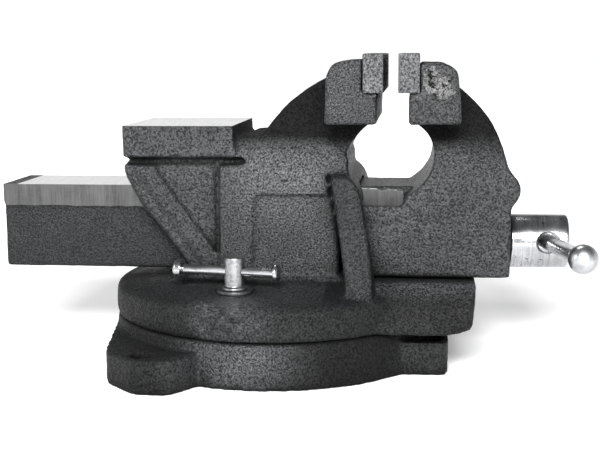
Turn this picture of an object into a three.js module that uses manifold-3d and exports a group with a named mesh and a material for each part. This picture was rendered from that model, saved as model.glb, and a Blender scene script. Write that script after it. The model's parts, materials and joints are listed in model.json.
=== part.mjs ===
// Bench vise with a swivel base, in millimetres, +Z up.
//
// The origin is the swivel axis where the base meets the bench. +X runs along the slide towards
// the spindle handle, +Y runs across the jaws. Every piece that can be unscrewed, pulled out or
// turned on the real vise is a mesh of its own.
import * as THREE from 'three';
import { mergeVertices } from 'three/addons/utils/BufferGeometryUtils.js';
import Module from 'manifold-3d';

const wasm = await Module();
wasm.setup();

// ---------------------------------------------------------------- driving dimensions
const JAW = { width: 150, top: 234, bottom: 187 };
const PLATE = { thick: 15.6, bottom: 210, top: 238.8 };
const GRIP = { fixed: 89.2, moving: 99.9 };          // X of the two gripping faces at rest
const SLIDE = { half: 32.15, top: 136.5, bottom: 69.3, rear: -217.7, channel: 20, roof: 121 };
const STRIP = { foot: 120, relief: 0.9 };            // planed strip, proud of the slide's side
const FIT = 0.6;                                     // sliding clearance round the slide
const BODY = { half: 57, gussetHalf: 53.5, recessHalf: 49, armHalf: 41, top: 139 };
const CHEEK_HALF = 60;                               // the moving jaw's body beside the slide
const CHEEK_BOTTOM = SLIDE.bottom + 1.3;
const ANVIL = { rear: -112.8, front: -26.8, half: 53.25, top: 184.7 };
const DISC = { r: 130.5, bottom: 34.4, hub: 67.5 };
const BASE = { r: 131.5, top: 34, earThick: 25, holeR: 8 };
const TSLOT = { r: 89.4, neck: 7, wing: 12, shelf: 24, floor: 11 };
const CLAMP = { x: -20.5, y: 87, seat: 62.6 };
const SPINDLE = { z: 89.8, r: 10, headR: 21.3, headRear: 188, headFront: 233.5, tail: -168 };
const NUT = { x: 40, half: 17, length: 38, top: 110, boltSeat: 54 };
const HANDLE = { x: 217, r: 6, ballR: 10.2, near: 143, far: 92, lift: 4.8, skew: 3.4 };
// The two front ears in plan: their corners with rounding radii, and their bolt holes. The two
// back ears are the same, half a turn round.
const EARS = [
  {
    corners: [[-126, -36], [-112, -122, 11], [-85, -148, 8], [-59, -148, 14], [-38, -118], [-70, -60]],
    hole: [-82, -131],
  },
  {
    corners: [[80, -96], [92, -80, 4], [138.5, -80, 7], [139.5, -34, 18], [120, 24], [70, -40]],
    hole: [126, -66],
  },
];

// ---------------------------------------------------------------- finishes
const finish = (color, roughness, metalness) => () =>
  new THREE.MeshStandardMaterial({ color, roughness, metalness });
const castIron = finish(0x46474a, 0.72, 0.35);
const zincSteel = finish(0xc9ccd0, 0.28, 1);
const blackSteel = finish(0x3a3c40, 0.5, 0.8);
const bronze = finish(0xa87f4a, 0.45, 1);

// ---------------------------------------------------------------- making and joining solids
// A geometry becomes a solid once its shared corners are merged.
function toSolid(geometry) {
  const bare = geometry.index ? geometry.toNonIndexed() : geometry.clone();
  bare.deleteAttribute('normal');
  bare.deleteAttribute('uv');
  const merged = mergeVertices(bare, 1e-4);
  return new wasm.Manifold(new wasm.Mesh({
    numProp: 3,
    vertProperties: new Float32Array(merged.attributes.position.array),
    triVerts: new Uint32Array(merged.index.array),
  }));
}

function toGeometry(solid) {
  const mesh = solid.getMesh();
  const geometry = new THREE.BufferGeometry();
  geometry.setAttribute('position', new THREE.BufferAttribute(new Float32Array(mesh.vertProperties), 3));
  geometry.setIndex(new THREE.BufferAttribute(new Uint32Array(mesh.triVerts), 1));
  geometry.computeVertexNormals();
  return geometry;
}

// A closed outline of [x, y] or [x, y, corner radius] points, each corner rounded by its radius.
function outline(corners) {
  const shape = new THREE.Shape();
  const count = corners.length;
  corners.forEach(([x, y, radius = 0], i) => {
    const corner = new THREE.Vector2(x, y);
    const before = new THREE.Vector2(...corners[(i + count - 1) % count]);
    const after = new THREE.Vector2(...corners[(i + 1) % count]);
    const cut = Math.min(radius, 0.48 * corner.distanceTo(before), 0.48 * corner.distanceTo(after));
    const start = corner.clone().add(before.sub(corner).setLength(cut));
    const end = corner.clone().add(after.sub(corner).setLength(cut));
    if (i === 0) shape.moveTo(start.x, start.y);
    else shape.lineTo(start.x, start.y);
    if (cut > 0) shape.quadraticCurveTo(x, y, end.x, end.y);
  });
  shape.closePath();
  return shape;
}

function prism(shape, depth, steps = 5) {
  return new THREE.ExtrudeGeometry(shape, { depth, bevelEnabled: false, curveSegments: steps });
}

// An outline in X and Z, carried across from y0 to y1.
function acrossY(shape, y0, y1, steps) {
  const geometry = prism(shape, y1 - y0, steps);
  geometry.rotateX(Math.PI / 2);
  geometry.translate(0, y1, 0);
  return toSolid(geometry);
}

// An outline in Y and Z, carried along from x0 to x1.
function alongX(shape, x0, x1, steps) {
  const geometry = prism(shape, x1 - x0, steps);
  geometry.applyMatrix4(new THREE.Matrix4().makeBasis(
    new THREE.Vector3(0, 1, 0), new THREE.Vector3(0, 0, 1), new THREE.Vector3(1, 0, 0)));
  geometry.translate(x0, 0, 0);
  return toSolid(geometry);
}

// An outline in X and Y, raised from z0 to z1.
function upZ(shape, z0, z1, steps) {
  const geometry = prism(shape, z1 - z0, steps);
  geometry.translate(0, 0, z0);
  return toSolid(geometry);
}

function block(x0, x1, y0, y1, z0, z1) {
  const geometry = new THREE.BoxGeometry(x1 - x0, y1 - y0, z1 - z0);
  geometry.translate((x0 + x1) / 2, (y0 + y1) / 2, (z0 + z1) / 2);
  return toSolid(geometry);
}

// A pair of blocks, one on each side of the middle, from y0 to y1 away from it.
function blockPair(x0, x1, y0, y1, z0, z1) {
  return block(x0, x1, y0, y1, z0, z1).add(block(x0, x1, -y1, -y0, z0, z1));
}

// A turned solid about Z from a closed profile of [radius, height] points.
function turned(profile, segments = 48) {
  const points = [...profile, profile[0]].map(([r, z]) => new THREE.Vector2(r, z));
  const geometry = new THREE.LatheGeometry(points, segments);
  geometry.rotateX(Math.PI / 2);
  return geometry;
}

const turnedZ = (profile, segments) => toSolid(turned(profile, segments));

// The same, with the profile's height running along +X from the point at x, z.
function turnedX(profile, z, segments) {
  const geometry = turned(profile, segments);
  geometry.rotateY(Math.PI / 2);
  geometry.translate(0, 0, z);
  return toSolid(geometry);
}

function rodZ(x, y, r, z0, z1, segments = 24) {
  const geometry = new THREE.CylinderGeometry(r, r, z1 - z0, segments);
  geometry.rotateX(Math.PI / 2);
  geometry.translate(x, y, (z0 + z1) / 2);
  return toSolid(geometry);
}

function rodX(y, z, r, x0, x1, segments = 24) {
  const geometry = new THREE.CylinderGeometry(r, r, x1 - x0, segments);
  geometry.rotateZ(Math.PI / 2);
  geometry.translate((x0 + x1) / 2, y, z);
  return toSolid(geometry);
}

function rodY(x, z, r, y0, y1, segments = 24) {
  const geometry = new THREE.CylinderGeometry(r, r, y1 - y0, segments);
  geometry.translate(x, (y0 + y1) / 2, z);
  return toSolid(geometry);
}

const vise = new THREE.Group();

function addPiece(name, solid, material, parent = vise) {
  const mesh = new THREE.Mesh(toGeometry(solid), material);
  mesh.name = name;
  parent.add(mesh);
  return mesh;
}

const bothSides = (make) => [['front', -1], ['back', 1]].forEach(([side, sign]) => make(side, sign));

// ---------------------------------------------------------------- swivel base
// A round cast plate with a T-shaped ring groove for the clamp bolts, a spigot in the middle
// that the body turns on, and four ears that are bolted to the bench.
function swivelBase() {
  const { r, neck, wing, shelf, floor } = TSLOT;
  let base = turnedZ([
    [0, 0], [BASE.r, 0], [BASE.r, 10], [BASE.r - 2, BASE.top - 2], [BASE.r - 4, BASE.top],
    [r + neck, BASE.top], [r + neck, shelf], [r + wing, shelf], [r + wing, floor],
    [r - wing, floor], [r - wing, shelf], [r - neck, shelf], [r - neck, BASE.top],
    [22, BASE.top], [22, 46], [0, 46],
  ], 64);
  // the ears, kept clear of the groove, and the hollows under the plate
  const core = rodZ(0, 0, r + wing + 4, -1, BASE.top + 20, 64);
  for (const half of [0, Math.PI]) {
    for (const { corners, hole } of EARS) {
      const ear = prism(outline(corners), BASE.earThick, 6);
      ear.rotateZ(half);
      base = base.add(toSolid(ear).subtract(core));
      const bolt = new THREE.Vector2(...hole).rotateAround(new THREE.Vector2(), half);
      base = base.subtract(rodZ(bolt.x, bolt.y, BASE.holeR, -1, 40));
    }
  }
  const hollow = (from, to, top) => turnedZ([[from, -1], [to, -1], [to, top], [from, top]], 48);
  base = base.subtract(hollow(30, r - wing - 6, 23)).subtract(hollow(r + wing + 6, BASE.r - 9, 24));
  return base.subtract(rodZ(0, 0, 6.6, 18, 50));
}

// ---------------------------------------------------------------- fixed body
// The round foot that turns on the base: a low cone on a thick rim.
function bodyFoot() {
  return turnedZ([
    [0, DISC.bottom], [DISC.r - 1.5, DISC.bottom], [DISC.r, 40], [DISC.r - 0.5, 53],
    [DISC.r - 2, 57], [DISC.r - 6, 59.2], [78, 65.5], [0, DISC.hub],
  ], 64);
}

// An upright outline in Y and Z for half a section, mirrored to both sides.
function flare(halfSection) {
  const other = [...halfSection].reverse().map(([y, z, radius]) => [-y, z, radius]);
  return outline([...halfSection, ...other]);
}

// The body's side walls. At the rear they stop along a slant running down from under the anvil,
// which is stiffened by a strut; between the strut and the main walls they are sunk.
function bodyShell() {
  const { half, gussetHalf, recessHalf, armHalf, top } = BODY;
  const recess = acrossY(outline([
    [-113, 155], [-113, 148, 5], [-100, 123], [-82, 101], [-64, 76], [-56, 50], [-20, 50], [-20, 155],
  ]), -recessHalf, recessHalf);
  const strut = acrossY(outline([
    [-111.5, 155], [-111, 148, 5], [-97, 123], [-79, 101], [-61, 76], [-53, 50],
    [-37, 50], [-40, 86], [-55, 106], [-74, 132], [-89, 155],
  ]), -gussetHalf, gussetHalf);
  const ridge = acrossY(outline([
    [-104, 155], [-81, 121], [-56, 86], [-48, 70], [-42, 80], [-61, 106], [-80, 132], [-95, 155],
  ]), -gussetHalf - 2.5, gussetHalf + 2.5);
  const main = acrossY(outline([
    [-37.5, 50], [-37.5, 162], [-20, 177, 4], [45, 177], [62, 160], [62, 50],
  ]), -half, half);
  const taper = alongX(flare([
    [-half, 40], [-half, top, 3], [-half + 4, 158, 8], [-armHalf - 4, 177],
  ]), -40, 70);
  return recess.add(strut).add(ridge).add(main.intersect(taper));
}

// The upright frame at the front of the body, spread like an A down to the foot.
function frontFrame() {
  const sides = acrossY(outline([
    [49, 149, 3], [62, 149, 5], [71, 139, 6], [77, 108], [81, 83], [82.5, 66], [83, DISC.bottom],
    [64, DISC.bottom], [62, 68], [57, 102], [52, 132],
  ]), -110, 110);
  const spread = alongX(outline([
    [-101, DISC.bottom], [-100.5, 52], [-84, 84], [-72, 118], [-66, 149, 6],
    [66, 149, 6], [72, 118], [84, 84], [100.5, 52], [101, DISC.bottom],
  ]), 40, 90);
  return sides.intersect(spread);
}

// The support that reaches forward under the moving jaw, wider at its foot.
function nose() {
  const plan = upZ(outline([
    [60, -99], [86, -99], [134, -97, 10], [156, -91, 8], [160, -70, 8],
    [160, 70, 8], [156, 91, 8], [134, 97, 10], [86, 99], [60, 99],
  ]), DISC.bottom, 68.7);
  const section = alongX(outline([
    [-99, DISC.bottom], [-98, 39, 4], [-87, 57, 14], [-71, 68.7, 1.5],
    [71, 68.7, 1.5], [87, 57, 14], [98, 39, 4], [99, DISC.bottom],
  ]), 55, 165);
  const side = acrossY(outline([
    [55, DISC.bottom], [138, DISC.bottom, 6], [155.5, 37.5, 3], [159.5, 68.7, 2], [55, 68.7],
  ]), -110, 110);
  const cored = upZ(outline([[88, -58], [148, -58, 6], [148, 58, 6], [88, 58]]), DISC.bottom - 1, 58);
  return plan.intersect(section).intersect(side).subtract(cored);
}

// The curved arm that carries the fixed jaw over the throat.
function fixedArm() {
  const arm = new THREE.Shape();
  arm.moveTo(-12, 150);
  arm.lineTo(-6, 176);
  arm.quadraticCurveTo(14, 207, 47, 222);
  arm.lineTo(80, 222);
  arm.lineTo(84, 190);
  arm.quadraticCurveTo(67, 180, 60.5, 164);
  arm.quadraticCurveTo(60, 150, 68, 140);
  arm.lineTo(68, 136);
  arm.lineTo(20, 136);
  arm.closePath();
  const { half, armHalf, top } = BODY;
  return acrossY(arm, -half, half, 8).intersect(alongX(flare([
    [-half, 130], [-half, top, 3], [-half + 4, 158, 8], [-armHalf - 2, 174, 6], [-armHalf, 190],
    [-armHalf, 225],
  ]), -20, 90));
}

function fixedJawBlock() {
  return acrossY(outline([
    [45.5, JAW.bottom, 2], [47, 222], [51, 231, 4], [60, JAW.top, 3], [GRIP.fixed - 5, JAW.top],
    [GRIP.fixed - 5, JAW.bottom, 1.5],
  ]), -JAW.width / 2, JAW.width / 2);
}

// The step in a jaw's top that its plate sits in; away is -1 or +1, from the gap into the jaw.
function plateSeat(gripX, away) {
  const back = gripX + away * (PLATE.thick + 0.3);
  const open = gripX - away * 5;
  return block(Math.min(back, open), Math.max(back, open), -80, 80, PLATE.bottom - 0.3, JAW.top + 10);
}

function fixedBody() {
  const anvil = acrossY(outline([
    [ANVIL.rear, 160, 1], [ANVIL.rear, ANVIL.top, 1.5], [ANVIL.front, ANVIL.top, 1.5], [-24, 160, 1],
  ]), -ANVIL.half, ANVIL.half);
  const underAnvil = block(-110, -18, -BODY.recessHalf, BODY.recessHalf, 150, 162);
  let body = bodyFoot().add(bodyShell()).add(frontFrame()).add(nose());
  body = body.add(anvil).add(underAnvil).add(fixedArm()).add(fixedJawBlock());
  body = body.subtract(plateSeat(GRIP.fixed, -1));

  // the framed panel sunk into each side, and the coved grooves beside the front frame
  const panel = acrossY(outline([
    [-13, 68, 3], [-10, 133, 6], [51, 133], [55, 108], [60.5, 68],
  ]), BODY.half - 3, BODY.half + 12);
  body = body.subtract(panel).subtract(panel.mirror([0, 1, 0]));
  const cove = acrossY(outline([
    [45, 148], [49, 149], [52, 132], [57, 102], [62, 68], [58, 68], [53, 102], [48, 132],
  ]), BODY.half - 7, BODY.half + 6);
  body = body.subtract(cove).subtract(cove.mirror([0, 1, 0]));
  body = body.subtract(blockPair(ANVIL.rear - 5, -17, BODY.recessHalf - 4, BODY.half + 6, 154.5, 160));
  body = body.subtract(blockPair(-42, -37, BODY.recessHalf - 2.5, BODY.half + 6, 86, 156));

  // the way for the slide, the room behind the front frame for the moving jaw's cheeks,
  // and the cored hollows that keep the walls even
  const way = SLIDE.half + FIT;
  body = body.subtract(block(-130, 200, -way, way, SLIDE.bottom - FIT, SLIDE.top + FIT));
  body = body.subtract(block(55, 200, -61, 61, SLIDE.bottom - FIT, 126));
  body = body.subtract(blockPair(-52, 46, way - 1, 42, 76, 132));
  body = body.subtract(block(-88, 50, -38, 38, 130, 152));
  body = body.subtract(turnedZ([[108, 30], [121, 30], [121, 50], [108, 50]], 48));
  body = body.subtract(turnedZ([[29, 30], [72, 30], [72, NUT.boltSeat], [29, NUT.boltSeat]], 48));

  // bores: the spigot, the pivot bolt with its sunk head, the nut's bolt and the clamp bolts
  body = body.subtract(rodZ(0, 0, 22.4, 30, 46.5, 32));
  body = body.subtract(rodZ(0, 0, 6.6, 40, 80));
  body = body.subtract(rodZ(0, 0, 15, 57.4, 80));
  body = body.subtract(rodZ(NUT.x, 0, 6.4, 20, 80));
  bothSides((side, sign) => {
    const spot = rodZ(CLAMP.x, sign * CLAMP.y, 16, 50, CLAMP.seat, 28);
    body = body.add(spot).subtract(rodZ(CLAMP.x, sign * CLAMP.y, 15.5, CLAMP.seat, 75, 28));
    body = body.subtract(rodZ(CLAMP.x, sign * CLAMP.y, 5.6, 30, 75));
  });
  return body.subtract(plateScrewHoles(GRIP.fixed, -1));
}

// ---------------------------------------------------------------- moving jaw
// The curved arm, flaring downwards into the cheeks on both sides of the slide.
function movingArm() {
  const arm = new THREE.Shape();
  arm.moveTo(108, 196);
  arm.lineTo(109, 188);
  arm.quadraticCurveTo(127, 180, 127, 163);
  arm.quadraticCurveTo(126, 143, 107, 133);
  arm.lineTo(103, 124.5);
  arm.lineTo(71.5, 124.5);
  arm.lineTo(70.5, 123.5);
  arm.lineTo(70.5, CHEEK_BOTTOM + 1.5);
  arm.lineTo(72, CHEEK_BOTTOM);
  arm.lineTo(181.5, CHEEK_BOTTOM);
  arm.quadraticCurveTo(184.5, CHEEK_BOTTOM, 184.5, CHEEK_BOTTOM + 3);
  arm.lineTo(184.5, 122);
  arm.quadraticCurveTo(184.5, 125, 188, 128);
  arm.quadraticCurveTo(195, 137, 188, 146);
  arm.quadraticCurveTo(182, 152, 181, 158);
  arm.quadraticCurveTo(175, 192, 142, 215.5);
  arm.lineTo(112, 222);
  arm.closePath();
  const { armHalf } = BODY;
  return acrossY(arm, -CHEEK_HALF, CHEEK_HALF, 7).intersect(alongX(flare([
    [-CHEEK_HALF, 60], [-CHEEK_HALF, 140, 8], [-CHEEK_HALF + 6, 160, 10], [-armHalf - 1, 178, 6],
    [-armHalf, 192], [-armHalf, 225],
  ]), 60, 200));
}

function movingJaw() {
  const inner = GRIP.moving + 8;
  const head = acrossY(outline([
    [inner, JAW.bottom, 1.5], [inner, JAW.top - 2], [136, JAW.top - 3, 4], [143.5, 225, 4],
    [146.5, JAW.bottom, 2],
  ]), -JAW.width / 2, JAW.width / 2);
  let jaw = head.add(movingArm()).subtract(plateSeat(GRIP.moving, 1));
  jaw = jaw.subtract(block(60, 172, -50, 50, 60, 116));
  jaw = jaw.subtract(block(60, 103, -50, 50, 60, 130));

  // the hollow slide, open underneath, and the bearing wall that the spindle turns in
  const { half, top, bottom, channel, roof } = SLIDE;
  const wall = alongX(flare([
    [-channel, roof, 3], [-channel, bottom, 1], [-half + STRIP.relief, bottom, 2],
    [-half + STRIP.relief, STRIP.foot], [-half, STRIP.foot + STRIP.relief], [-half, top, 0.5],
  ]), SLIDE.rear, 175);
  jaw = jaw.add(wall);
  jaw = jaw.subtract(block(60, 172, -channel, channel, 60, roof));
  jaw = jaw.subtract(rodX(0, SPINDLE.z, SPINDLE.r + 0.4, 165, 200));
  return jaw.subtract(plateScrewHoles(GRIP.moving, 1));
}

// ---------------------------------------------------------------- jaw plates and their screws
const SCREW = { y: 48, z: 222, r: 4, headR: 7.5, sunk: 1.2, headDepth: 6, length: 24 };

// The blind holes in the jaw that the two plate screws run into; away is -1 or +1 along X.
function plateScrewHoles(gripX, away) {
  const from = gripX + away * (PLATE.thick - 1);
  const to = gripX + away * (SCREW.length + 4);
  const [x0, x1] = [Math.min(from, to), Math.max(from, to)];
  return rodX(-SCREW.y, SCREW.z, SCREW.r + 0.4, x0, x1, 16)
    .add(rodX(SCREW.y, SCREW.z, SCREW.r + 0.4, x0, x1, 16));
}

function jawPlate(gripX, away) {
  const back = gripX + away * PLATE.thick;
  const [x0, x1] = [Math.min(gripX, back), Math.max(gripX, back)];
  let plate = block(x0, x1, -JAW.width / 2, JAW.width / 2, PLATE.bottom, PLATE.top);
  for (const y of [-SCREW.y, SCREW.y]) {
    const sink = gripX + away * (SCREW.sunk + SCREW.headDepth + 0.3);
    const [h0, h1] = [Math.min(gripX - away, sink), Math.max(gripX - away, sink)];
    plate = plate.subtract(rodX(y, SCREW.z, SCREW.headR + 0.4, h0, h1, 20));
    plate = plate.subtract(rodX(y, SCREW.z, SCREW.r + 0.4, x0 - 1, x1 + 1, 16));
  }
  return plate;
}

function plateScrew(gripX, away, y) {
  const face = gripX + away * SCREW.sunk;
  const neck = face + away * SCREW.headDepth;
  const tip = gripX + away * SCREW.length;
  const head = rodX(y, SCREW.z, SCREW.headR, Math.min(face, neck), Math.max(face, neck), 20);
  const shank = rodX(y, SCREW.z, SCREW.r, Math.min(neck, tip), Math.max(neck, tip), 16);
  const socketEnd = face + away * 3.5;
  const [s0, s1] = [Math.min(face - away, socketEnd), Math.max(face - away, socketEnd)];
  const socket = rodX(y, SCREW.z, 3.2, s0, s1, 6);
  return head.add(shank).subtract(socket);
}

// ---------------------------------------------------------------- pieces in their places
addPiece('swivel_base', swivelBase(), castIron());
addPiece('fixed_body', fixedBody(), castIron());
addPiece('moving_jaw', movingJaw(), castIron());
addPiece('fixed_jaw_plate', jawPlate(GRIP.fixed, -1), castIron());
addPiece('moving_jaw_plate', jawPlate(GRIP.moving, 1), castIron());
bothSides((side, sign) => {
  addPiece(`fixed_plate_screw_${side}`, plateScrew(GRIP.fixed, -1, sign * SCREW.y), blackSteel());
  addPiece(`moving_plate_screw_${side}`, plateScrew(GRIP.moving, 1, sign * SCREW.y), blackSteel());
});

// pivot bolt: screwed down through the body into the base's spigot, over a plain washer
addPiece('pivot_washer', turnedZ([[6.8, 57.8], [13.5, 57.8], [13.5, 60], [6.8, 60]], 28), zincSteel());
addPiece('pivot_bolt', rodZ(0, 0, 6, 19, 62).add(rodZ(0, 0, 10, 60.4, 67.4, 6)), zincSteel());

// nut: a block standing in the slide's channel on the body's floor, held by a bolt from below
const nutFoot = SLIDE.bottom - FIT + 0.3;
const [nutRear, nutFront] = [NUT.x - NUT.length / 2, NUT.x + NUT.length / 2];
const nutBlock = acrossY(outline([
  [nutRear, nutFoot, 1], [nutRear, NUT.top, 8], [nutFront, NUT.top, 8], [nutFront, nutFoot, 1],
]), -NUT.half, NUT.half);
addPiece('spindle_nut', nutBlock
  .subtract(rodX(0, SPINDLE.z, SPINDLE.r + 0.5, nutRear - 5, nutFront + 5))
  .subtract(rodZ(NUT.x, 0, 5.4, 60, 76)), bronze());
addPiece('nut_bolt', rodZ(NUT.x, 0, 5, 50, 75)
  .add(rodZ(NUT.x, 0, 9, NUT.boltSeat - 8.3, NUT.boltSeat - 0.3, 6)), zincSteel());

// spindle: head, collar face and screw in one piece; the handle bar goes through the head
const spindleGroup = new THREE.Group();
spindleGroup.position.set(0, 0, SPINDLE.z);
spindleGroup.rotation.x = -THREE.MathUtils.degToRad(HANDLE.lift);
vise.add(spindleGroup);
const { r: shaftR, headR, headRear, headFront, tail } = SPINDLE;
const COLLAR = { rear: 158, front: 171.5, r: 16, pinR: 1.9 };
const pinX = (COLLAR.rear + COLLAR.front) / 2;
const pinHole = rodZ(pinX, 0, COLLAR.pinR + 0.35, -30, 30, 12);
const spindle = turnedX([
  [0, tail], [shaftR - 2, tail], [shaftR, tail + 3], [shaftR, headRear - 0.1], [headR - 2, headRear],
  [headR, headRear + 1.5], [headR, headFront - 2.5], [headR - 2.5, headFront], [0, headFront],
], 0, 40).subtract(rodY(HANDLE.x, 0, HANDLE.r + 1.7, -30, 30, 24)).subtract(pinHole);
addPiece('spindle', spindle, zincSteel(), spindleGroup);

// the collar pinned to the screw inside the jaw, which pulls the jaw back out, and the washer
// that the head pushes on
addPiece('retaining_collar', turnedX([
  [shaftR + 0.4, COLLAR.rear], [COLLAR.r, COLLAR.rear], [COLLAR.r, COLLAR.front],
  [shaftR + 0.4, COLLAR.front],
], 0, 32).subtract(pinHole), blackSteel(), spindleGroup);
addPiece('collar_pin', rodZ(pinX, 0, COLLAR.pinR, -COLLAR.r, COLLAR.r, 12), zincSteel(), spindleGroup);
addPiece('thrust_washer', turnedX([
  [shaftR + 0.4, 184.9], [19, 184.9], [19, 187.5], [shaftR + 0.4, 187.5],
], SPINDLE.z, 32), zincSteel());

// handle bar and its two balls, lying a little askew in the spindle head's loose hole
const handleGroup = new THREE.Group();
handleGroup.position.x = HANDLE.x;
handleGroup.rotation.z = THREE.MathUtils.degToRad(HANDLE.skew);
spindleGroup.add(handleGroup);
const BALL = { barDepth: 5, collarLength: 6, collarRoot: 8.5, collarTip: 7.1 };

// One ball with its tapered neck and the blind hole that the bar's end is pressed into. The
// neck points along -Y.
function handleBall() {
  const ball = new THREE.SphereGeometry(HANDLE.ballR, 20, 12);
  const neck = new THREE.CylinderGeometry(BALL.collarRoot, BALL.collarTip, BALL.collarLength, 20);
  neck.translate(0, -BALL.barDepth - BALL.collarLength / 2, 0);
  const socket = rodY(0, 0, HANDLE.r + 0.3, -20, -BALL.barDepth + 0.3, 20);
  return toSolid(ball).add(toSolid(neck)).subtract(socket);
}

addPiece('handle_bar', rodY(0, 0, HANDLE.r, -HANDLE.near + BALL.barDepth, HANDLE.far - BALL.barDepth),
  zincSteel(), handleGroup);
bothSides((side, sign) => {
  const ball = addPiece(`handle_ball_${side}`, handleBall(), zincSteel(), handleGroup);
  ball.rotation.x = sign < 0 ? Math.PI : 0;
  ball.position.y = sign < 0 ? -HANDLE.near : HANDLE.far;
});

// clamp bolts: one on each side of the body, with a washer under the shoulder, a cross bar with
// one formed end and one pressed cap, and the tee nut that slides round in the base's groove
const CROSS = {
  z: 78.6, r: 3.5, long: 47.5, short: 34.5, capR: 7.4, capLength: 6, endR: 6.8, endLength: 3.2,
};

function clampScrew(seat) {
  return turnedZ([
    [0, 17], [3.6, 17], [5, 18.4], [5, seat + 2.5], [9.6, seat + 2.5], [9.6, seat + 4], [7.4, seat + 5],
    [7.4, 88.4], [6.2, 89.8], [0, 89.8],
  ], 32).subtract(rodX(0, CROSS.z, CROSS.r + 0.5, -12, 12, 16));
}

function crossBar() {
  const { z, r, long, short, capLength, endR, endLength } = CROSS;
  const rod = rodX(0, z, r, -long + capLength - 3, short - 1, 16);
  return rod.add(rodX(0, z, endR, short - endLength, short, 20));
}

function crossBarCap() {
  const { z, r, long, capR, capLength } = CROSS;
  return rodX(0, z, capR, -long, -long + capLength, 24)
    .subtract(rodX(0, z, r + 0.3, -long + capLength - 3.3, -long + capLength + 2, 16));
}

function teeNut(y) {
  const plate = new THREE.BoxGeometry(18, 26, 7.6);
  plate.translate(TSLOT.r, 0, 19.9);
  plate.rotateZ(Math.atan2(y, CLAMP.x));
  return toSolid(plate).subtract(rodZ(CLAMP.x, y, 5.4, 10, 30));
}

bothSides((side, sign) => {
  const y = sign * CLAMP.y;
  const seat = CLAMP.seat + 0.3;
  const washer = rodZ(CLAMP.x, y, 13.5, seat, seat + 2.2, 32).subtract(rodZ(CLAMP.x, y, 5.5, 55, 75, 24));
  addPiece(`clamp_washer_${side}`, washer, zincSteel());
  addPiece(`clamp_tee_nut_${side}`, teeNut(y), blackSteel());

  const turning = new THREE.Group();
  turning.position.set(CLAMP.x, y, 0);
  turning.rotation.z = side === 'front' ? -0.17 : Math.PI - 0.17;
  vise.add(turning);
  addPiece(`clamp_screw_${side}`, clampScrew(seat), zincSteel(), turning);
  addPiece(`clamp_bar_${side}`, crossBar(), zincSteel(), turning);
  addPiece(`clamp_bar_cap_${side}`, crossBarCap(), zincSteel(), turning);
});

export default vise;
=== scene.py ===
"""Looks for the swivel-base bench vise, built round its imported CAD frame, in metres."""
import json
import math

import bmesh
import bpy
import numpy as np
from mathutils import Matrix, Vector


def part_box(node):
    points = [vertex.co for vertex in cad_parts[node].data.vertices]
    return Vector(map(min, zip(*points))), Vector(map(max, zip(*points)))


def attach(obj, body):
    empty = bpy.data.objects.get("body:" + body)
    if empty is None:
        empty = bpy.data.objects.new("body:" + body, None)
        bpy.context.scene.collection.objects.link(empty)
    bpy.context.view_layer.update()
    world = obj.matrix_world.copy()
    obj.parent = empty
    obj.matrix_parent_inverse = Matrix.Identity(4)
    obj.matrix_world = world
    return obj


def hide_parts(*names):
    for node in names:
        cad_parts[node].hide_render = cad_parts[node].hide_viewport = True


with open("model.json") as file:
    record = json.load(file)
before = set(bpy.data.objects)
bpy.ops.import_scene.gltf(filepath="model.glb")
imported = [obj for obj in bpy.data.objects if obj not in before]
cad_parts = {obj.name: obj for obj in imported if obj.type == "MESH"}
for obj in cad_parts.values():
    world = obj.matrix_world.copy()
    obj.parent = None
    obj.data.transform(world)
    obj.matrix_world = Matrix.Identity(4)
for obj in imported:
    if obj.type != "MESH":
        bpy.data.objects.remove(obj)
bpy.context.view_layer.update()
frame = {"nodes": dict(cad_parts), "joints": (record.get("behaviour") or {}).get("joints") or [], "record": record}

MM = 0.001

# ---- Camera ------------------------------------------------------------------------------
# A long lens a little left of the spindle end and above the jaws, looking down at the near side.
CAMERA_AT = Vector((0.113, -0.8784, 0.2402))
CAMERA_LEFT, CAMERA_DOWN, CAMERA_ROLL = 0.106, 0.157, -0.006
camera_data = bpy.data.cameras.new("camera")
camera_data.sensor_width = 36.0
camera_data.lens = 65.6
camera_data.clip_end = 30.0
camera = bpy.data.objects.new("camera", camera_data)
bpy.context.scene.collection.objects.link(camera)
camera.matrix_world = (
    Matrix.Translation(CAMERA_AT)
    @ Matrix.Rotation(CAMERA_LEFT, 4, "Z")
    @ Matrix.Rotation(math.pi / 2 - CAMERA_DOWN, 4, "X")
    @ Matrix.Rotation(CAMERA_ROLL, 4, "Z")
)
bpy.context.scene.camera = camera


# ---- Floor and light ---------------------------------------------------------------------
# A pale studio table and a room that is white round the horizon and dim overhead. One large soft
# light stands low in front, so upright faces are bright and faces turned up are dark; a weak one
# overhead behind lifts the far side a little, which stays dark.
def linear(hex_colour):
    """An sRGB hex colour as linear red, green, blue and 1, by the sRGB curve."""
    parts = [int(hex_colour[i:i + 2], 16) / 255 for i in (1, 3, 5)]
    return [p / 12.92 if p <= 0.04045 else ((p + 0.055) / 1.055) ** 2.4 for p in parts] + [1.0]


def add_node(tree, kind, settings=None, **inputs):
    """Adds a shader node, sets its properties, and sets or links each input: i0 is the first
    input, and Roughness or From_Min the input of that name."""
    node = tree.nodes.new(kind)
    for name, value in (settings or {}).items():
        setattr(node, name, value)
    for name, value in inputs.items():
        key = int(name[1:]) if name[0] == "i" and name[1:].isdigit() else name.replace("_", " ")
        if isinstance(value, bpy.types.NodeSocket):
            tree.links.new(value, node.inputs[key])
        else:
            node.inputs[key].default_value = value
    return node


def new_material(name, roughness=0.5, metallic=0.0):
    """A material with a plain Principled shader; returns material, node tree and shader."""
    material = bpy.data.materials.new(name)
    material.use_nodes = True
    tree = material.node_tree
    shader = tree.nodes["Principled BSDF"]
    shader.inputs["Roughness"].default_value = roughness
    shader.inputs["Metallic"].default_value = metallic
    return material, tree, shader


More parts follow.
